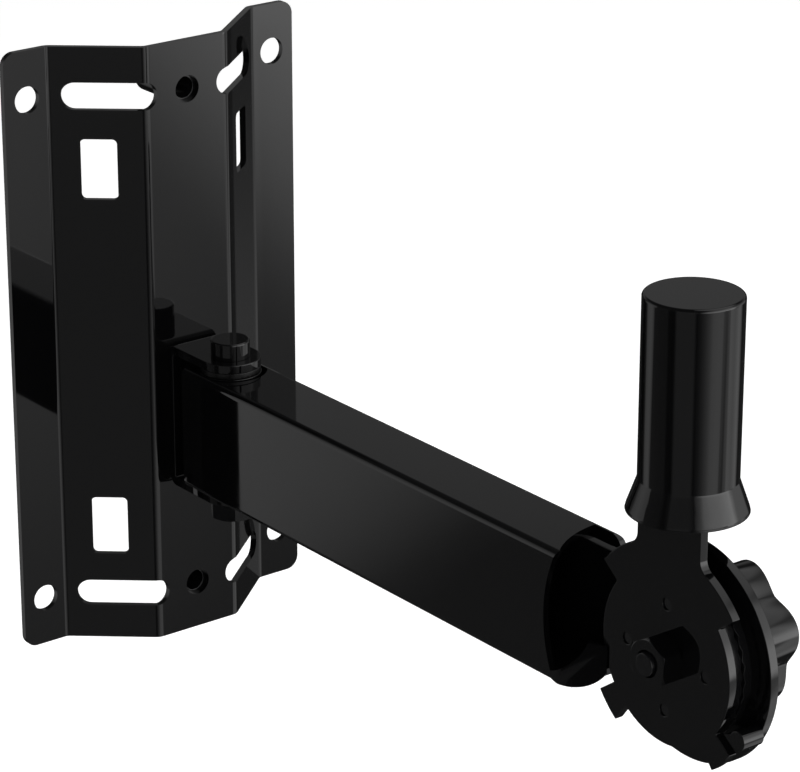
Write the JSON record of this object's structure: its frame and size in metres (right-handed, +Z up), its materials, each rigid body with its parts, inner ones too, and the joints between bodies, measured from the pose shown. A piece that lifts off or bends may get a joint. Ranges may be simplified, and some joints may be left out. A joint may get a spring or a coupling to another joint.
{
  "type": "wall mount bracket",
  "caption": "Swivelling and tilting loudspeaker wall bracket: folded wall plate, hinged arm and a tilt joint that carries an upright socket spigot.",
  "frame": {"origin": "middle of the wall plate, in the plane where its flanges touch the wall", "axes": "+X to the right along the wall, +Y into the wall (the arm reaches out towards -Y), +Z up"},
  "size_m": [0.137, 0.3602, 0.25],
  "materials": {
    "plate_paint": "high-gloss black powder coat",
    "bracket_paint": "high-gloss black powder coat",
    "arm_paint": "high-gloss black powder coat",
    "disc_paint": "high-gloss black powder coat",
    "spigot_paint": "high-gloss black powder coat",
    "fastener": "blackened steel",
    "steel": "zinc plated",
    "ring_metal": "black die casting",
    "washer_plastic": "black nylon",
    "knob_plastic": "black moulded"
  },
  "bodies": {
    "wall": {"wall_plate": "plate_paint", "weld_nut_top": "steel", "weld_nut_bottom": "steel", "hinge_bracket": "bracket_paint", "pivot_bolt": "fastener", "pivot_nut": "fastener", "spacer_washer": "washer_plastic"},
    "arm": {"arm_tube": "arm_paint", "pivot_sleeve": "arm_paint", "arm_disc": "disc_paint", "arm_tooth_ring": "ring_metal", "stop_pin": "disc_paint"},
    "tilt": {"tilt_plate": "disc_paint", "tilt_tooth_ring": "ring_metal", "spigot": "spigot_paint", "tilt_nut": "fastener"},
    "knob": {"knob_bolt": "fastener", "knob_washer": "fastener", "star_knob": "knob_plastic"}
  },
  "joints": [
    {"name": "arm_swivel", "type": "hinge", "parent": "wall", "child": "arm", "pos_m": [0, -0.0533, 0], "axis": [0, 0, 1], "range_deg": [-90, 90]},
    {"name": "tilt", "type": "hinge", "parent": "arm", "child": "tilt", "pos_m": [0, -0.3192, -0.0293], "axis": [1, 0, 0], "range_deg": [-2, 60]},
    {"name": "knob_turn", "type": "hinge", "parent": "tilt", "child": "knob", "pos_m": [0, -0.3192, -0.0293], "axis": [1, 0, 0], "range_deg": [0, 360]}
  ]
}
